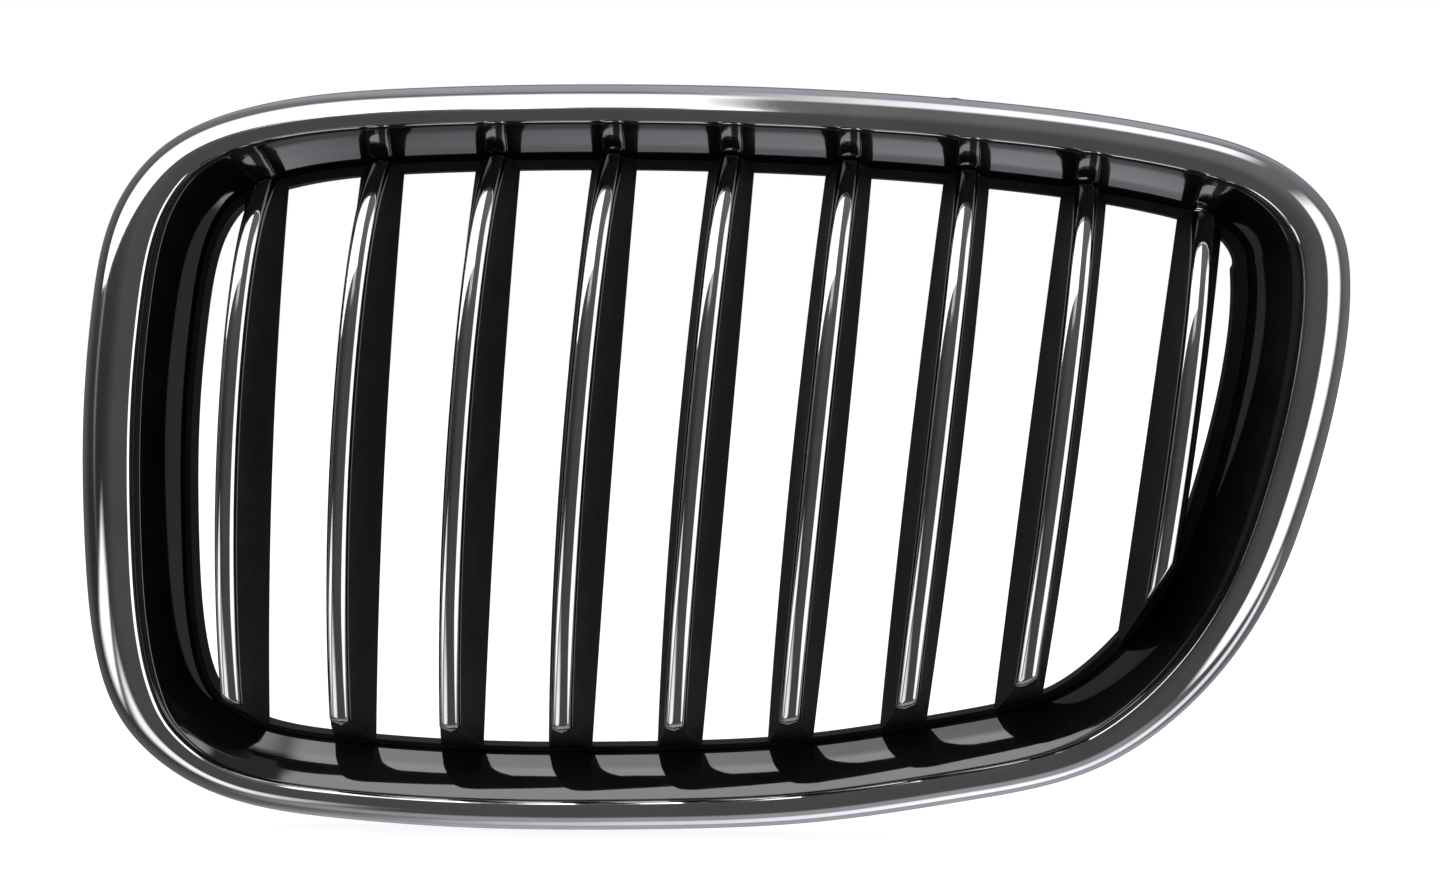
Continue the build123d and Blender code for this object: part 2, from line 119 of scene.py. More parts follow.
# Ears and pins
UPPER_X, LOWER_X = (-125, 75), (-125, 25)
UPPER_Y, UPPER_Z, LOWER_Y, LOWER_Z = 34, 103, 76, -124
EAR_HALF, EAR_THICK, EAR_SHELF, SCREW_HOLE_R = 8.5, 3.2, 4.5, 2.75
RIB_THICK, RIB_INSET = 1.6, 0.9
SLEEVE_IN = 22.6         # outside of the collar's sleeve
PINS = [(-198.5, -5), (184, 22)]
PIN_SHOULDER_Y, PIN_LONG, PIN_R, PIN_BOSS_R = 40, 10, 3, 4.6


# ---- shape ------------------------------------------------------------------------------


def rear_y(x, z):
    """The bowed rear sheet: a plane with a parabola each way."""
    return REAR_DEPTH + (REAR_X[0] + REAR_X[1] * x) * x + (REAR_Z[0] + REAR_Z[1] * z) * z


def nose_y(x, z):
    """The sheet through the fins' noses: a plane with a stronger parabola each way."""
    return (NOSE_X[0] + NOSE_X[1] * x) * x + (NOSE_Z[0] + NOSE_Z[1] * z) * z


def spline(points, closed, count):
    """A cubic spline through points with chord lengths as knots; its second derivatives come
    from one linear system. Returns positions and directions at evenly spaced lengths."""
    p = np.asarray(points, float)
    if closed:
        p = np.vstack([p, p[:1]])
    knots = np.r_[0, np.cumsum(np.linalg.norm(np.diff(p, axis=0), axis=1))]
    h = np.diff(knots)
    slope = np.diff(p, axis=0) / h[:, None]
    n = len(p)
    a = np.zeros((n, n))
    b = np.zeros((n, p.shape[1]))
    k = np.arange(1, n - 1)
    a[k, k - 1], a[k, k], a[k, k + 1] = h[k - 1], 2 * (h[k - 1] + h[k]), h[k]
    b[k] = 6 * (slope[k] - slope[k - 1])
    if closed:
        a[0, 0], a[0, -1] = 1, -1
        a[-1, 0], a[-1, 1], a[-1, -2], a[-1, -1] = 2 * h[0], h[0], h[-1], 2 * h[-1]
        b[-1] = 6 * (slope[0] - slope[-1])
    else:
        a[0, 0] = a[-1, -1] = 1
    m = np.linalg.solve(a, b)

    def at(u):
        i = np.clip(np.searchsorted(knots, u, side="right") - 1, 0, n - 2)
        w = ((u - knots[i]) / h[i])[:, None]
        hi = h[i][:, None]
        bend = (w**3 - w) * m[i + 1] + ((1 - w) ** 3 - (1 - w)) * m[i]
        bend_slope = (3 * w**2 - 1) * m[i + 1] - (3 * (1 - w) ** 2 - 1) * m[i]
        return (1 - w) * p[i] + w * p[i + 1] + bend * hi**2 / 6, slope[i] + bend_slope * hi / 6

    fine = np.linspace(0, knots[-1], 4000)
    length = np.r_[0, np.cumsum(np.linalg.norm(np.diff(at(fine)[0], axis=0), axis=1))]
    wanted = np.linspace(0, length[-1], count, endpoint=not closed)
    places, way = at(np.interp(wanted, length, fine))
    return places, way / np.linalg.norm(way, axis=1)[:, None]


EDGE, EDGE_WAY = spline(OUTLINE, True, ROUND)
EDGE_OUT = np.stack([EDGE_WAY[:, 1], -EDGE_WAY[:, 0]], 1)


def carried(profile, stations=None):
    """A profile of (step inwards, depth from the rear sheet, and what the step gains at both
    sides, at the left side, and along the bottom) carried round the outline:
    point = edge - outward * (step + side ox^2 + left ox^2 + low oz^2) * gain, with
    gain = 1 + side gain * ox^2 + top or bottom gain * oz^2, and y = rear sheet + depth."""
    profile = np.asarray([(*p, 0.0, 0.0, 0.0)[:5] for p in profile], float)
    edge, out = (EDGE, EDGE_OUT) if stations is None else stations
    across, upright = out[:, :1] ** 2, out[:, 1:] ** 2
    left, low = across * (out[:, :1] < 0), upright * (out[:, 1:] < 0)
    gain = 1 + SIDE_GAIN * across + np.where(out[:, 1:] > 0, TOP_GAIN, BOTTOM_GAIN) * upright
    step = profile[None, :, 0] + profile[None, :, 2] * across
    step = (step + profile[None, :, 3] * left + profile[None, :, 4] * low) * gain
    x = edge[:, None, 0] - out[:, None, 0] * step
    z = edge[:, None, 1] - out[:, None, 1] * step
    return np.stack([x, rear_y(x, z) + profile[None, :, 1], z], -1)


def station(t):
    """Edge point and outward direction at a share t of the outline's length."""
    i = int(round(t * ROUND)) % ROUND
    return EDGE[i : i + 1], EDGE_OUT[i : i + 1]


def station_between(t):
    """The edge and its outward direction anywhere along its length, between the stations."""
    k = t * ROUND
    i, w = int(k) % ROUND, k % 1
    j = (i + 1) % ROUND
    out = (1 - w) * EDGE_OUT[i] + w * EDGE_OUT[j]
    return ((1 - w) * EDGE[i] + w * EDGE[j])[None], (out / np.linalg.norm(out))[None]


def ways_at(out):
    """The directions outward and along the edge, from an outward direction in the plane."""
    return np.array([out[0, 0], 0, out[0, 1]]), np.array([out[0, 1], 0, -out[0, 0]])


def rounded(corners, radii, closed=True, steps=6):
    """A polygon with its corners rounded: each corner is a quadratic curve between the points
    one radius before and after it, and each straight run gets supporting points."""
    c = np.asarray(corners, float)
    n = len(c)
    made = []
    for k in range(n):
        here, before, after = c[k], c[k - 1], c[(k + 1) % n]
        r = radii[k] if hasattr(radii, "__len__") else radii
        if r <= 0 or (not closed and k in (0, n - 1)):
            made.append(here[None])
            continue
        one, two = before - here, after - here
        one_long, two_long = np.linalg.norm(one), np.linalg.norm(two)
        r = min(r, 0.45 * one_long, 0.45 * two_long)
        start = here + one / one_long * r
        end = here + two / two_long * r
        w = np.linspace(0, 1, steps + 1)[:, None]
        curve = (1 - w) ** 2 * start + 2 * w * (1 - w) * here + w**2 * end
        lead = here + one / one_long * r * 1.35
        tail = here + two / two_long * r * 1.35
        made.append(np.vstack([lead, curve, tail]))
    return np.vstack(made)


class Build:
    """Vertices and faces gathered from several surfaces into one piece."""

    def __init__(self):
        self.points, self.faces, self.count = [], [], 0

    def add(self, points, faces):
        """Takes points (n, 3) and lists of indices into them, turned so that they face out."""
        points = np.asarray(points, float).reshape(-1, 3)
        if signed_volume(points, faces) < 0:
            faces = [f[::-1] for f in faces]
        self.faces += [tuple(int(i) + self.count for i in f) for f in faces]
        self.points.append(points)
        self.count += len(points)

    def grid(self, v, around, along):
        """A grid of points (rows, columns, 3); around closes its columns, along its rows, and
        rows that stay open are closed by their end faces."""
        rows, cols = v.shape[:2]
        i = np.arange(rows if along else rows - 1)[:, None]
        j = np.arange(cols if around else cols - 1)[None, :]
        i2, j2 = (i + 1) % rows, (j + 1) % cols
        quads = np.stack([i * cols + j, i * cols + j2, i2 * cols + j2, i2 * cols + j], -1)
        faces = [tuple(q) for q in quads.reshape(-1, 4)]
        if not along:
            faces.append(tuple(range(cols - 1, -1, -1)))
            faces.append(tuple(range((rows - 1) * cols, rows * cols)))
        self.add(v.reshape(-1, 3), faces)
        return self

    def slab(self, outline, thick, centre, u, v, w, bevel=0.4):
        """A flat outline in the directions u and v with a thickness along w and bevelled rims:
        four rows, of which the first and last are drawn in by the bevel."""
        o = np.asarray(outline, float)
        way = np.roll(o, -1, 0) - np.roll(o, 1, 0)
        out = np.stack([way[:, 1], -way[:, 0]], 1) / (np.linalg.norm(way, axis=1)[:, None] + 1e-9)
        if np.sum(o[:, 0] * np.roll(o[:, 1], -1) - np.roll(o[:, 0], -1) * o[:, 1]) < 0:
            out = -out
        u, v, w = (np.asarray(a, float) for a in (u, v, w))
        rows = []
        for height, inset in ((-0.5, bevel), (-0.5, 0), (0.5, 0), (0.5, bevel)):
            flat = o - out * inset
            lift = height * thick + (bevel if height < 0 else -bevel) * (inset == 0)
            rows.append(np.asarray(centre) + flat[:, :1] * u + flat[:, 1:] * v + lift * w)
        self.grid(np.array(rows), True, False)

    def turned(self, profile, centre, steps):
        """A profile of (radius, height) turned about an axis along Y through a centre."""
        angle = np.linspace(0, 2 * np.pi, steps, endpoint=False)
        axis, side = np.array([0.0, 1.0, 0.0]), np.array([1.0, 0.0, 0.0])
        other = np.cross(axis, side)
        ring = np.cos(angle)[:, None] * side + np.sin(angle)[:, None] * other
        p = np.asarray(profile, float)
        v = np.asarray(centre) + p[:, None, :1] * ring[None] + p[:, None, 1:] * axis
        self.grid(v, True, False)

    def piece(self, name, material, slot, node, sharp=35):
        """The finished object in metres, riding on the body and standing for its CAD node."""
        mesh = bpy.data.meshes.new(name)
        mesh.from_pydata(((np.vstack(self.points) - DATUM) * MM).tolist(), [], self.faces)
        mesh.update()
        mesh.shade_smooth()
        mesh.set_sharp_from_angle(angle=math.radians(sharp))
        mesh.materials.append(material)
        thing = bpy.data.objects.new(name, mesh)
        bpy.context.scene.collection.objects.link(thing)
        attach(thing, "root")
        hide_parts(node)


def signed_volume(points, faces):
    """The volume inside closed faces, negative where they face inwards."""
    total = 0.0
    sizes = {}
    for f in faces:
        sizes.setdefault(len(f), []).append(f)
    for size, group in sizes.items():
        g = np.array(group)
        for k in range(1, size - 1):
            a, b, c = points[g[:, 0]], points[g[:, k]], points[g[:, k + 1]]
            total += np.einsum("ij,ij->", a, np.cross(b, c))
    return total / 6


# ---- materials --------------------------------------------------------------------------


def shader(name, **values):
    """A material with one Principled shader whose own sockets hold the constant values."""
    material = bpy.data.materials.new(name)
    material.use_nodes = True
    tree = material.node_tree
    surface = tree.nodes["Principled BSDF"]
    for key, value in values.items():
        surface.inputs[key.replace("_", " ")].default_value = value
    coords = tree.nodes.new("ShaderNodeTexCoord")
    return material, tree, surface, coords.outputs["Object"]


def noise(tree, coords, scale, detail=2.0, rough=0.5):
    """A noise texture on the object's own coordinates, scale in cycles per metre."""
    node = tree.nodes.new("ShaderNodeTexNoise")
    node.inputs["Scale"].default_value = scale
    node.inputs["Detail"].default_value = detail
    node.inputs["Roughness"].default_value = rough
    tree.links.new(coords, node.inputs["Vector"])
    return node.outputs["Fac"]


def ramp(tree, value, low, high, out_low, out_high):
    """Maps a value from one range to another."""
    node = tree.nodes.new("ShaderNodeMapRange")
    ends = {"From Min": low, "From Max": high, "To Min": out_low, "To Max": out_high}
    for key, number in ends.items():
        node.inputs[key].default_value = number
    tree.links.new(value, node.inputs["Value"])
    return node.outputs["Result"]


def tint(tree, value, dark, light):
    """A colour that runs from dark to light with a noise value."""
    value = ramp(tree, value, 0.3, 0.7, 0, 1)
    node = tree.nodes.new("ShaderNodeMix")
    node.data_type = "RGBA"
    node.inputs["A"].default_value = (*dark, 1)
    node.inputs["B"].default_value = (*light, 1)
    tree.links.new(value, node.inputs["Factor"])
    return node.outputs["Result"]


def bump(tree, surface, height, strength, distance):
    """Relief on a surface: distance is the height of the relief in metres."""
    node = tree.nodes.new("ShaderNodeBump")
    node.inputs["Strength"].default_value = strength
    node.inputs["Distance"].default_value = distance
    tree.links.new(height, node.inputs["Height"])
    tree.links.new(node.outputs["Normal"], surface.inputs["Normal"])


def plating(name, dark, light, rough):
    """Bright plating: mirror-like metal with faint handling haze and a very slight waviness."""
    material, tree, surface, coords = shader(name, Metallic=1.0)
    haze = noise(tree, coords, 35, 4, 0.6)
    tree.links.new(tint(tree, haze, dark, light), surface.inputs["Base Color"])
    fine = noise(tree, coords, 900, 3, 0.7)
    sheen = ramp(tree, fine, 0.3, 0.8, rough * 0.7, rough * 1.6)
    tree.links.new(sheen, surface.inputs["Roughness"])
    bump(tree, surface, noise(tree, coords, 60, 1, 0.4), 0.06, 0.0006)
    return material


def gloss_black():
    """Polished black moulded plastic with slight flow waves and dust-fine haze."""
    material, tree, surface, coords = shader("gloss_black", Metallic=0.0, IOR=1.9)
    broad = noise(tree, coords, 40, 3, 0.55)
    colour = tint(tree, broad, (0.004, 0.004, 0.005), (0.010, 0.010, 0.011))
    tree.links.new(colour, surface.inputs["Base Color"])
    fine = noise(tree, coords, 1400, 2, 0.6)
    tree.links.new(ramp(tree, fine, 0.3, 0.8, 0.035, 0.12), surface.inputs["Roughness"])
    bump(tree, surface, noise(tree, coords, 45, 1, 0.4), 0.08, 0.0005)
    return material


def satin_black():
    """Fine-textured black moulded plastic: pebbled grain under a fingertip-fine speckle."""
    material, tree, surface, coords = shader("satin_black", Metallic=0.0, IOR=1.40)
    broad = noise(tree, coords, 55, 4, 0.6)
    colour = tint(tree, broad, (0.010, 0.010, 0.010), (0.020, 0.020, 0.020))
    tree.links.new(colour, surface.inputs["Base Color"])
    fine = noise(tree, coords, 1800, 3, 0.6)
    tree.links.new(ramp(tree, fine, 0.3, 0.7, 0.48, 0.66), surface.inputs["Roughness"])
    surface.inputs["Specular IOR Level"].default_value = 0.18
    grain = noise(tree, coords, 2600, 2, 0.6)
    bump(tree, surface, grain, 0.25, 0.00006)
    return material


def zinc_steel():
    """Zinc-plated steel: pale grey with a crystalline mottle and fine drawing lines."""
    material, tree, surface, coords = shader("zinc_steel", Metallic=1.0)
    spots = noise(tree, coords, 600, 4, 0.7)
    colour = tint(tree, spots, (0.42, 0.42, 0.40), (0.62, 0.62, 0.60))
    tree.links.new(colour, surface.inputs["Base Color"])
    tree.links.new(ramp(tree, spots, 0.3, 0.7, 0.25, 0.42), surface.inputs["Roughness"])
    bump(tree, surface, noise(tree, coords, 2200, 2, 0.6), 0.2, 0.00004)
    return material


BRIGHT = plating("bright_plating", (0.56, 0.56, 0.58), (0.66, 0.66, 0.68), 0.07)
BRIGHT_STRIP = plating("bright_strip_plating", (0.50, 0.50, 0.52), (0.60, 0.60, 0.62), 0.06)
GLOSS = gloss_black()
SATIN = satin_black()
ZINC = zinc_steel()


# ---- the surround -----------------------------------------------------------------------


def surround():
    """The bright moulding: an outer skin on a spline from its outer rim over the crest to the
    inner edge, a small returned lip, and an inner skin, all carried round the outline."""
    skin = spline([(0, -8, EDGE_SIDE, 0, EDGE_SIDE), (0.2, -15, EDGE_SIDE, 0, EDGE_SIDE),
                   (1.8, -22, -2.0, 0, -2.0), (5.2, -26.8, -1.7, 0.6, -2.1),
                   (9.4, -28.6, -1.5, 1.5, -2.4), (13.4, -27.3, *LIP_STEPS)],
                  False, 44)[0]
    lip_line = [(13.4, -27.3), (14.2, -26.2), (14.2, -24), (12.2, -24), (12, -25.2)]
    lip = rounded([(*p, *LIP_STEPS) for p in lip_line],
                  [0, 0.8, 0.3, 0.3, 0], closed=False, steps=5)[1:-1]
    inner = spline([(12, -25.2, *LIP_STEPS), (9.3, -26.3, -1.5, 1.5, -2.4),
                    (6.3, -24.9, -1.7, 0.6, -2.1), (3.8, -21, -2.0, 0, -2.0),
                    (2.5, -14.8, EDGE_SIDE, 0, EDGE_SIDE), (2.4, -8, EDGE_SIDE, 0, EDGE_SIDE)],
                   False, 14)[0]
    made = Build().grid(carried(np.vstack([skin, lip, inner])), True, True)
    boss = [(RING_BOSS_R, RING_BOSS_FRONT - RING_BOSS_REAR), (RING_BOSS_R, -0.3),
            (RING_BOSS_R - 0.3, 0), (SCREW_R, 0), (SCREW_R, -3)]
    ends = [(RING_BOSS_IN, depth, *BOSS_STEPS) for depth in (RING_BOSS_FRONT, RING_BOSS_REAR)]
    for t in RING_SCREW_AT:
        front, end = carried(ends, station(t))[0]
        made.turned(boss, (front[0], end[1], front[2]), 20)
    made.piece("surround", BRIGHT, "bright_plating", "chrome_surround")


# ---- the collar -------------------------------------------------------------------------


def ear_shape(made, x, y, z, sleeve_z):
    """A screw ear: a plate with a round end and a hole, a web to the sleeve, and two ribs."""
    way = math.copysign(1, z)
    half, thick = EAR_HALF, EAR_THICK
    y_web = rear_y(x, sleeve_z) - 1
    root, shelf = sleeve_z - way * 0.4, sleeve_z + way * EAR_SHELF
    angle = np.linspace(0, np.pi, 25)
    round_end = np.stack([half * np.cos(angle), way * half * np.sin(angle)], 1)
    outline = np.vstack([round_end, (-half, shelf - z), (half, shelf - z)])
    plate_with_hole(made, outline, SCREW_HOLE_R, thick, (x, y - thick / 2, z))
    beam = rounded([(-half, root), (half, root), (half, shelf), (-half, shelf)], 0.8)
    beam_long, middle = y - thick - y_web + 0.6, (y_web + y - thick) / 2 + 0.3
    made.slab(beam, beam_long, (x, middle, 0), (1, 0, 0), (0, 0, 1), (0, 1, 0))
    rib = rounded([(y - 2, shelf - way), (y - 2, z + way * 2), (y_web, shelf - way)],
                  [0, 1.5, 1.0])
    for side in (-1, 1):
        at = (x + side * (half - RIB_INSET), 0, 0)
        made.slab(rib, RIB_THICK, at, (0, 1, 0), (0, 0, 1), (1, 0, 0), 0.25)


def plate_with_hole(made, outline, radius, thick, centre):
    """A flat plate with a round hole: a closed ring section that runs out to the outline's
    edge along rays from the hole, a bevel at every rim."""
    o = np.asarray(outline, float)
    rays = 64
    angle = np.linspace(0, 2 * np.pi, rays, endpoint=False)
    reach = np.array([ray_reach(o, a) for a in angle])
    way = np.stack([np.cos(angle), np.sin(angle)], 1)
    h = thick / 2
    rows = [(0, radius, -h + 0.3), (0, radius + 0.3, -h), (1, -0.4, -h), (1, 0, -h + 0.4),
            (1, 0, h - 0.4), (1, -0.4, h), (0, radius + 0.3, h), (0, radius, h - 0.3)]
    grid = []
    for outer, offset, height in rows:
        r = (reach if outer else 0) + offset
        flat = way * np.broadcast_to(r, angle.shape)[:, None]
        grid.append(np.stack([centre[0] + flat[:, 0], np.full(rays, centre[1] + height),
                              centre[2] + flat[:, 1]], 1))
    made.grid(np.array(grid), True, True)


def ray_reach(outline, angle):
    """How far a ray from the middle runs before it meets a closed outline."""
    d = np.array([math.cos(angle), math.sin(angle)])
    p, q = outline, np.roll(outline, -1, 0)
    e = q - p
    cross = d[0] * e[:, 1] - d[1] * e[:, 0]
    with np.errstate(divide="ignore", invalid="ignore"):
        r = (p[:, 0] * e[:, 1] - p[:, 1] * e[:, 0]) / cross
        s = (p[:, 0] * d[1] - p[:, 1] * d[0]) / cross
    good = (s >= -1e-9) & (s <= 1 + 1e-9) & (r > 0) & np.isfinite(r)
    return r[good].min()


def sleeve_height(x, way):
    """The height at which a line at x crosses the outside of the sleeve, above or below."""
    ring = carried([(SLEEVE_IN, 0, SLEEVE_SIDE)])[:, 0]
    side = ring[ring[:, 2] * way > 0]
    order = np.argsort(side[:, 0])
    return float(np.interp(x, side[order, 0], side[order, 2]))


def collar():
    """The gloss black funnel: a recessed land, a wall that draws inwards to the rear frame, a
    sleeve round the frame and a flange under the surround, with its bosses, ears and pins."""
    corners = [
        (14.3, -24, *LIP_STEPS), (14.6, -24, LIP_SIDE + LAND, LIP_LEFT, LIP_LOW),
        (16.7, -20.6, 0, 1.8, -2.0), (20.0, -14, -0.2, 1.0, -0.9), (25, -2, SLEEVE_SIDE, 0, 0),
        (25, 5, SLEEVE_SIDE, 0, 0), (SLEEVE_IN, 5, SLEEVE_SIDE, 0, 0),
        (SLEEVE_IN, -1.5, SLEEVE_SIDE, 0, 0), (17.5, -13.4, -0.2, 1.0, -0.9),
        (13.9, -20, 0, LIP_LEFT, -2.6), (13.9, FLANGE_REAR, 0, LIP_LEFT, -2.6),
        (3.2, FLANGE_REAR, -1.5, 0, -1.7), (3.2, FLANGE_FRONT, -1.5, 0, -1.7),
        (11.6, FLANGE_FRONT, *LIP_STEPS), (11.6, -23.7, *LIP_STEPS),
    ]
    radii = [0.1, 0.5, 2.4, 5.0, 0.5, 0.4, 0.4, 0.8, 3, 0.6, 0.6, 0.5, 0.5, 0.8, 0.3]
    made = Build().grid(carried(rounded(corners, radii, steps=6)), True, True)
    post = [(SCREW_R, 0), (FRAME_BOSS_R - 0.4, 0), (FRAME_BOSS_R, -0.4), (FRAME_BOSS_R, -9),
            (FRAME_BOSS_R - 0.3, -9.4)]
    for t in FRAME_SCREW_AT:
        p = carried([(FRAME_BOSS_IN, 0)], station(t))[0, 0]
        made.turned(post, p + [0, FRAME_BOSS_REAR, 0], 28)
    for x in UPPER_X:
        ear_shape(made, x, UPPER_Y, UPPER_Z, sleeve_height(x, 1))
    for x in LOWER_X:
        ear_shape(made, x, LOWER_Y, LOWER_Z, sleeve_height(x, -1))
    for x, z in PINS:
        start = rear_y(x, z) + FLANGE_REAR - 1 - PIN_SHOULDER_Y
        pin = [(PIN_BOSS_R, start), (PIN_BOSS_R, -0.5), (PIN_BOSS_R - 0.5, 0), (PIN_R, 0),
               (PIN_R, PIN_LONG), (PIN_R - 1.2, PIN_LONG + 2)]
        made.turned(pin, (x, PIN_SHOULDER_Y, z), 36)
    tab = rounded([(-TAB_HALF, -1), (TAB_HALF, -1), (TAB_HALF, TAB_DEEP), (-TAB_HALF, TAB_DEEP)],
                  [0, 0, 1.2, 1.2])
    for t in CLIP_AT:
        edge, out = station(t)
        p = carried([(TAB_IN, FLANGE_REAR)], (edge, out))[0, 0]
        up, side = ways_at(out)
        made.slab(tab, TAB_THICK, p, side, (0, 1, 0), up, 0.25)
    made.piece("funnel_collar", GLOSS, "gloss_black", "collar")


def slat_frame():
    """The satin black ring behind the funnel, an L section carried round, with screw tabs."""
    corners = [
        (25.15, FRAME_FRONT, SLEEVE_SIDE, 0, 0), (28.6, FRAME_FRONT, 0, OPENING_LEFT, OPENING_LOW),
        (28.6, FRAME_REAR, 0, OPENING_LEFT, OPENING_LOW), (22.8, FRAME_REAR, SLEEVE_SIDE, 0, 0),
        (22.8, FRAME_STEP, SLEEVE_SIDE, 0, 0), (25.15, FRAME_STEP, SLEEVE_SIDE, 0, 0),
    ]
    made = Build().grid(carried(rounded(corners, [0.2, 0.5, 0.5, 0.4, 0.3, 0.2])), True, True)
    tab = rounded([(FRAME_TAB_OUT, FRAME_STEP), (FRAME_TAB_IN, FRAME_STEP),
                   (FRAME_TAB_IN, FRAME_REAR), (FRAME_TAB_OUT, FRAME_REAR)], 0.4)
    for t in FRAME_SCREW_AT:
        spread = (np.linspace(-FRAME_TAB_HALF, FRAME_TAB_HALF, 9) / ROUND + t) % 1.0
        rows = [carried(tab, station_between(share)) for share in spread]
        made.grid(np.vstack(rows), True, False)
    made.piece("rear_slat_frame", SATIN, "satin_black", "slat_frame")


# ---- fins and strips --------------------------------------------------------------------


def fin_x(number, z):
    """The middle of a fin at height z."""
    return CENTRE_X + (number - (SLATS - 1) / 2) * PITCH + LEAN * z


def wall_line(inwards):
    """The outline stepped inwards, as a lower and an upper line sorted by x."""
    ring = carried([(inwards, 0, SLEEVE_SIDE)])[:, 0]
    ring = np.roll(ring, -np.argmin(ring[:, 0]), axis=0)
    turn = np.argmax(ring[:, 0])
    halves = ring[: turn + 1], np.vstack([ring[turn:], ring[:1]])
    lower, upper = sorted(halves, key=lambda half: half[:, 2].mean())
    return [half[np.argsort(half[:, 0])] for half in (lower, upper)]


WALL_OUTER, WALL_INNER = 10.0, SOCKET_IN
OUTER_LINES, INNER_LINES = wall_line(WALL_OUTER), wall_line(WALL_INNER)


def wall_height(x, top, inwards=WALL_INNER):
    """The height of the outline stepped inwards, at x, below or above: between two steps that
    are known, it changes evenly."""
    outer, inner = (np.interp(x, lines[top][:, 0], lines[top][:, 2])
                    for lines in (OUTER_LINES, INNER_LINES))
    return outer + (inner - outer) * (inwards - WALL_OUTER) / (WALL_INNER - WALL_OUTER)


def curled_nose_y(x, z, top):
    """Depth of a fin's nose: in front of the nose sheet, and curled back near its top by
    tuck * e^((z - top) / reach)."""
    return nose_y(x, z) - NOSE_PROUD + TUCK * np.exp(np.minimum((z - top) / TUCK_REACH, 0.1))


def column(number, section, levels):
    """A section carried up a leaning fin between its foot and its top. section gives points
    (x, y) for a middle x and a height z; the heights are settled by repeating
    z = low(x, y) + k (high(x, y) - low(x, y)) a few times."""
    k = levels[:, None]
    near_top = float(wall_height(fin_x(number, 80.0), 1))
    crown = float(wall_height(fin_x(number, near_top), 1))
    z = -110 + 200 * k * np.ones((1, len(section(0.0, np.zeros(1), crown)[0])))
    for _ in range(SETTLING):
        x, y = section(fin_x(number, z), z, crown)
        low, high = foot_height(x, y), top_height(x, y, z)
        z = low + k * (high - low)
    x, y = section(fin_x(number, z), z, crown)
    return np.stack([x, y, z], -1)


def foot_height(x, y):
    """A fin's foot, which slopes up towards the front from the frame."""
    foot = wall_height(x, 0)
    lip = rear_y(x, foot) + FRAME_FRONT
    return foot + np.maximum(0, lip - y) * FOOT_RISE


def top_height(x, y, z):
    """A fin's top, which follows the funnel's wall: the step inwards shrinks by the wall's
    slope with each millimetre forwards."""
    depth = y - rear_y(x, z)
    inwards = np.where(depth < FRAME_FRONT, np.interp(depth, WALL_DEPTH, WALL_IN), SOCKET_IN)
    return wall_height(x, 1, inwards)


FIN_SHAPE = rounded([(-1, 0), (1, 0), (1, 1), (-1, 1)], [0.05, 0.05, 0.06, 0.06], steps=5)
STRIP_ANGLE = np.linspace(0, np.pi, 33)


def fin_section(x, z, crown):
    """A wedge with rounded edges: each side is a straight line from the narrow front to the
    wide rear, given as a share across and a share of the depth."""
    across, depth = FIN_SHAPE[:, 0], FIN_SHAPE[:, 1]
    front = curled_nose_y(x, z, crown) + CAP_DEEP + GLUE_LINE
    rear = rear_y(x, z)
    rear_half = REAR_HALF + REAR_SPREAD * (rear - nose_y(x, z) - CAP_DEEP)
    half = FRONT_HALF + (rear_half - FRONT_HALF) * depth
    return x + across * half, front + (rear - front) * depth


def strip_section(x, z, crown):
    """A half round: x = middle - half cos(a), y = back - depth sin(a)."""
    back = curled_nose_y(x, z, crown) + CAP_DEEP
    return x - NOSE_HALF * np.cos(STRIP_ANGLE), back - CAP_DEEP * np.sin(STRIP_ANGLE)


def fins():
    """Nine fins and their bright strips. A strip's ends are rounded: its half round shrinks
    about its back by sqrt(1 - (1 - n)^2), with n the distance from the end over a length."""
    even = np.linspace(0, 1, FIN_LEVELS)
    rise = np.concatenate([np.linspace(0, STRIP_END, STRIP_END_LEVELS),
                           np.linspace(STRIP_END, 1 - STRIP_END, STRIP_LEVELS)[1:-1],
                           np.linspace(1 - STRIP_END, 1, STRIP_END_LEVELS)])
    for number in range(SLATS):
        body = column(number, fin_section, even)
        Build().grid(body, True, False).piece(
            f"fin_{number + 1}", SATIN, "satin_black", f"slat_{number + 1}")
        strip = column(number, strip_section, rise)
        middle = strip[:, [0, -1]].mean(1, keepdims=True)
        height = strip[:, len(STRIP_ANGLE) // 2, 2]
        near = np.minimum((height - height[0]) / FOOT_ROUND, (height[-1] - height) / TOP_ROUND)
        size = np.sqrt(np.clip(1 - (1 - np.clip(near, 0, 1)) ** 2, 0.0004, 1))
        size[-STRIP_END_LEVELS:] = np.maximum(size[-STRIP_END_LEVELS:], TOP_LEAST)
        strip = middle + (strip - middle) * size[:, None, None]
        Build().grid(strip, True, False).piece(
            f"bright_strip_{number + 1}", BRIGHT_STRIP, "bright_strip", f"slat_cap_{number + 1}",
            sharp=50)


# ---- fixings ----------------------------------------------------------------------------


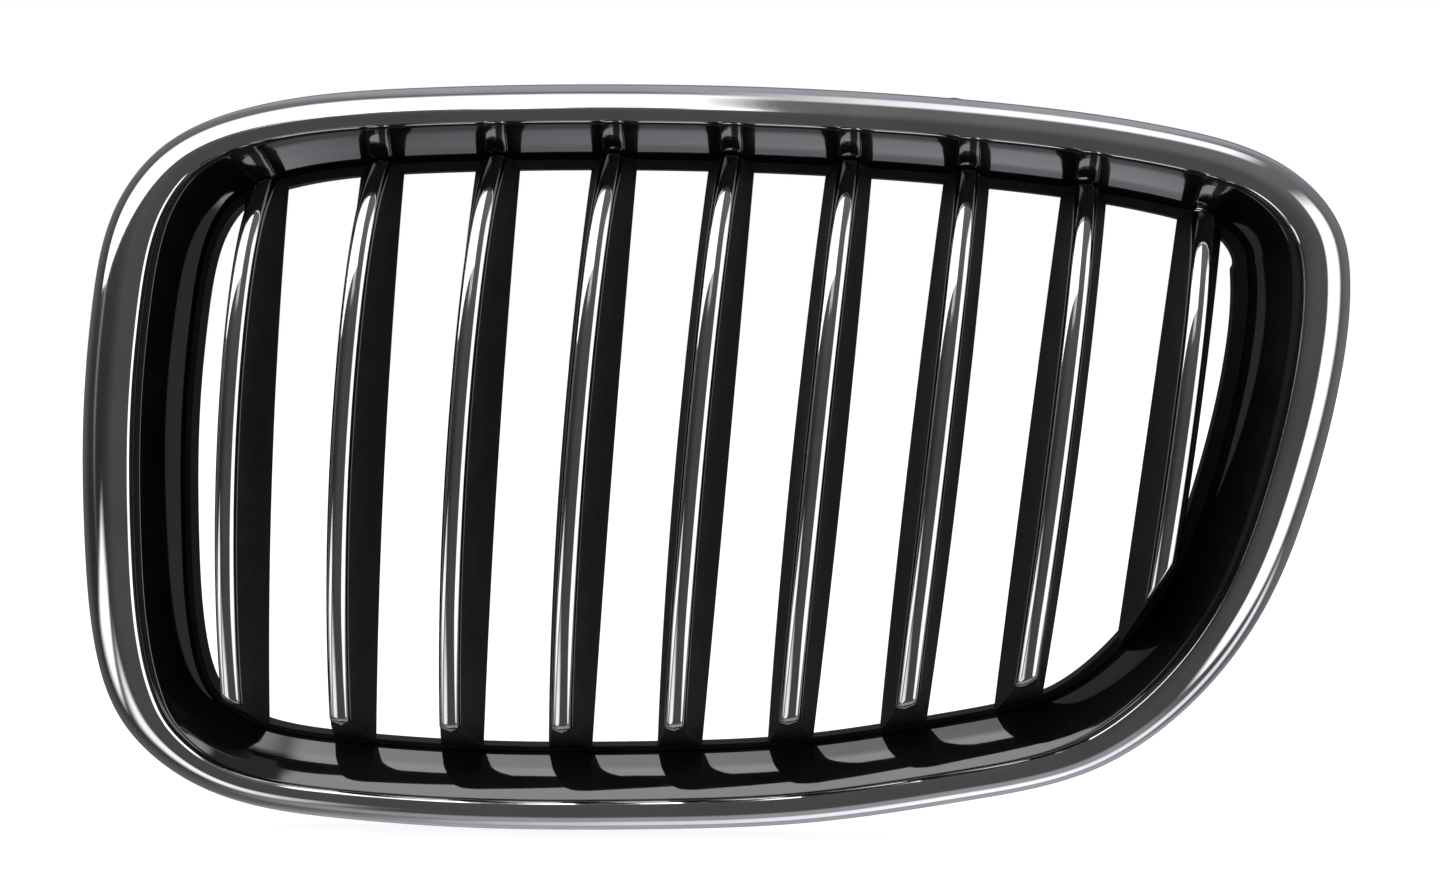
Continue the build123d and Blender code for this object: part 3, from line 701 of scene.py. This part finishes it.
def screw_shape(made, x, seat, z, shank):
    """A screw along Y: a shank and a domed head, with a cross sunk into the head as a function
    of radius and angle."""
    made.turned([(0.4, -shank), (1.1, -shank + 1.2), (SCREW_R, -shank + 2.2), (SCREW_R, 0.2)],
                (x, seat, z), 20)
    angle = np.linspace(0, 2 * np.pi, 56, endpoint=False)
    rho = np.r_[np.linspace(0.02, 0.62, 12), np.linspace(0.7, 1, 8)]
    a, r = np.meshgrid(angle, rho)
    across = np.minimum(np.abs(r * np.sin(a)), np.abs(r * np.cos(a)))
    cross = np.clip((0.16 - across) / 0.05, 0, 1) * np.clip((0.62 - r) / 0.08, 0, 1)
    height = HEAD_H * np.sqrt(1 - 0.72 * r**2) - cross
    top = np.stack([x + HEAD_R * r * np.cos(a), seat + height, z + HEAD_R * r * np.sin(a)], -1)
    rim = top[-1] * [1, 0, 1] + [0, seat, 0]
    made.grid(np.vstack([top, rim[None]]), True, False)


def fixings():
    """The two groups of screws and the spring clips."""
    made = Build()
    for t in RING_SCREW_AT:
        p = carried([(RING_BOSS_IN, FLANGE_REAR, *BOSS_STEPS)], station(t))[0, 0]
        screw_shape(made, p[0], p[1] - RING_SCREW_LIFT, p[2], RING_SCREW_LONG)
    made.piece("screws_of_surround", ZINC, "steel_fixings", "surround_screws")
    made = Build()
    for t in FRAME_SCREW_AT:
        p = carried([(FRAME_BOSS_IN, FRAME_REAR)], station(t))[0, 0]
        screw_shape(made, p[0], p[1] + FRAME_SCREW_LIFT, p[2], FRAME_SCREW_LONG)
    made.piece("screws_of_slat_frame", ZINC, "steel_fixings", "frame_screws")
    made = Build()
    gap, skin, foot, end = TAB_THICK / 2, TAB_THICK / 2 + CLIP_METAL, CLIP_FOOT, TAB_DEEP
    profile = [(foot, -gap), (end, -gap), (end, gap), (foot + 1.5, gap), (foot - 0.6, gap + 2.6),
               (foot + 0.1, gap + 2.9), (foot + 2, skin), (end - 2.5, skin),
               (end - 6.5, gap + 3.4), (end - 6.1, gap + 4.1), (end + CLIP_METAL, skin),
               (end + CLIP_METAL, -skin), (foot, -skin)]
    bent = rounded(profile, 0.25, steps=3)
    for t in CLIP_AT:
        edge, out = station(t)
        p = carried([(TAB_IN, FLANGE_REAR)], (edge, out))[0, 0]
        up, side = ways_at(out)
        made.slab(bent, CLIP_WIDE, p, (0, 1, 0), up, side, 0.1)
    made.piece("body_spring_clips", ZINC, "steel_fixings", "body_clips")


# ---- studio -----------------------------------------------------------------------------


def studio_world():
    """A white room to the eye. What the gloss sees is a dim studio, a little lighter behind and
    overhead and darkest straight behind, with soft windows, each a patch of directions."""
    world = bpy.data.worlds.new("studio")
    bpy.context.scene.world = world
    world.use_nodes = True
    tree = world.node_tree
    nodes, links = tree.nodes, tree.links
    nodes.clear()
    coords = nodes.new("ShaderNodeTexCoord")
    split = nodes.new("ShaderNodeSeparateXYZ")
    links.new(coords.outputs["Generated"], split.inputs[0])
    x, y, z = split.outputs

    def calc(kind, a, b):
        """One sum of two values, each a number or another node's result."""
        node = nodes.new("ShaderNodeMath")
        node.operation = kind
        for socket, value in zip(node.inputs, (a, b)):
            if isinstance(value, (int, float)):
                socket.default_value = value
            else:
                links.new(value, socket)
        return node.outputs[0]

    def step(value, edge, soft):
        """0 below the edge and 1 above it, over a soft width."""
        node = nodes.new("ShaderNodeMapRange")
        node.interpolation_type = "SMOOTHSTEP"
        links.new(value, node.inputs["Value"])
        node.inputs["From Min"].default_value = edge - soft
        node.inputs["From Max"].default_value = edge + soft
        return node.outputs["Result"]

    def window(facing, u, v, u_range, v_range, soft, level):
        """A bright rectangle on the plane one unit out along facing."""
        ahead = calc("MAXIMUM", facing, 0.02)
        uu, vv = calc("DIVIDE", u, ahead), calc("DIVIDE", v, ahead)
        value = step(facing, 0.05, 0.04)
        for coord, (low, high), s in ((uu, u_range, soft[0]), (vv, v_range, soft[1])):
            value = calc("MULTIPLY", value, step(coord, low, s))
            value = calc("MULTIPLY", value, calc("SUBTRACT", 1.0, step(coord, high, s)))
        return calc("MULTIPLY", value, level)

    def mixed(factor, a, b):
        """A colour between two others, the first of which may be another node's result."""
        node = nodes.new("ShaderNodeMix")
        node.data_type = "RGBA"
        links.new(factor, node.inputs["Factor"])
        if isinstance(a, tuple):
            node.inputs["A"].default_value = a
        else:
            links.new(a, node.inputs["A"])
        node.inputs["B"].default_value = b
        return node.outputs["Result"]

    behind = step(y, 0.35, 0.25)
    to_the_left = step(calc("MULTIPLY", x, -1.0), 0.5, 0.4)
    light = calc("ADD", 0.10, calc("MULTIPLY", behind, 0.08))
    light = calc("SUBTRACT", light, calc("MULTIPLY", step(y, 0.90, 0.05), 0.12))
    light = calc("ADD", light, calc("MULTIPLY", step(z, 0.25, 0.6), 0.10))
    light = calc("SUBTRACT", light, calc("MULTIPLY", to_the_left, 0.06))
    for args in windows(x, y, z, calc):
        light = calc("ADD", light, window(*args))
    seen = nodes.new("ShaderNodeLightPath").outputs["Is Camera Ray"]
    level = nodes.new("ShaderNodeMix")
    links.new(seen, level.inputs["Factor"])
    links.new(light, level.inputs["A"])
    level.inputs["B"].default_value = 1.0
    shade = mixed(behind, (1.0, 0.985, 0.96, 1), (0.92, 0.94, 1.0, 1))
    background = nodes.new("ShaderNodeBackground")
    links.new(mixed(seen, shade, (1, 1, 1, 1)), background.inputs["Color"])
    links.new(level.outputs["Result"], background.inputs["Strength"])
    out = nodes.new("ShaderNodeOutputWorld")
    links.new(background.outputs[0], out.inputs["Surface"])


def windows(x, y, z, calc):
    """Where the soft windows are: facing, across, along, their ranges, softness and level."""
    down, front, left = (calc("MULTIPLY", axis, -1.0) for axis in (z, y, x))
    corner = calc("MULTIPLY", calc("ADD", x, z), -0.7071)
    turn = calc("MULTIPLY", calc("SUBTRACT", x, z), 0.7071)
    made = [
        # Overhead, to the left and to the right of the middle
        (z, x, y, (-14.0, -0.03), (-2.8, 0.22), (0.05, 0.14), 2.2),
        (z, x, y, (0.03, 0.6), (0.0, 0.55), (0.15, 0.10), 1.5),
        # Beside the grille, right and left
        (x, y, z, (-0.75, 0.12), (-1.5, 0.7), (0.12, 0.2), 1.9),
        (left, y, z, (-0.24, -0.12), (-0.3, 0.3), (0.05, 0.3), 0.22),
        # Below and behind, which the bottom of the surround and the funnel's top wall mirror
        (down, x, y, (-0.1, 1.5), (0.50, 0.9), (0.3, 0.08), 1.2),
        (y, x, z, (-0.4, 0.5), (-2.2, -0.35), (0.2, 0.12), 0.30),
        (down, x, y, (-0.4, 0.6), (0.10, 0.45), (0.2, 0.10), 0.34),
        # Above and behind, which the funnel's bottom wall mirrors
        (y, x, z, (-0.5, 0.5), (0.35, 2.0), (0.2, 0.12), 0.22),
        # Two patches off the lower left corner
        (corner, turn, y, (-0.34, -0.06), (-0.55, 0.05), (0.05, 0.15), 1.8),
        (corner, turn, y, (0.06, 0.50), (-0.50, 0.0), (0.10, 0.15), 1.5),
    ]
    for lamp in (-0.34, -0.20, -0.06):
        made.append((front, x, z, (lamp, lamp + 0.05), (0.16, 0.42), (0.012, 0.05), 1.8))
    return made


def floor():
    """A plain pale floor just under the object, which the gloss doesn't see."""
    size, level = 6.0, cad_box[0][2] - 0.0005
    mesh = bpy.data.meshes.new("floor")
    corners = [(size * a, size * b, level) for a, b in ((-1, -1), (1, -1), (1, 1), (-1, 1))]
    mesh.from_pydata(corners, [], [(0, 1, 2, 3)])
    material = bpy.data.materials.new("pale_floor")
    material.use_nodes = True
    surface = material.node_tree.nodes["Principled BSDF"]
    surface.inputs["Base Color"].default_value = (0.35, 0.35, 0.35, 1)
    surface.inputs["Roughness"].default_value = 0.9
    surface.inputs["Emission Color"].default_value = (1, 1, 1, 1)
    surface.inputs["Emission Strength"].default_value = 0.86
    mesh.materials.append(material)
    thing = bpy.data.objects.new("floor", mesh)
    bpy.context.scene.collection.objects.link(thing)
    thing.visible_glossy = False
    thing.visible_diffuse = False


def camera():
    """The camera stands in front, a little to the right and above the middle."""
    data = bpy.data.cameras.new("camera")
    data.lens, data.sensor_width = 59.15, 36.0
    thing = bpy.data.objects.new("camera", data)
    bpy.context.scene.collection.objects.link(thing)
    thing.location = (np.array([60.1, -746.2, 45.6]) - DATUM) * MM
    ahead = np.array([-0.0781, 0.9951, -0.0608])
    level = np.cross(ahead, (0, 0, 1))
    level /= np.linalg.norm(level)
    up = np.cross(level, ahead)
    matrix = np.eye(4)
    matrix[:3, 0], matrix[:3, 1], matrix[:3, 2] = level, up, -ahead
    thing.rotation_mode = "QUATERNION"
    thing.rotation_quaternion = Matrix(matrix.tolist()).to_quaternion()
    bpy.context.scene.camera = thing


camera()
surround()
collar()
slat_frame()
fins()
fixings()
studio_world()
floor()
bpy.context.scene.view_settings.view_transform = "Standard"
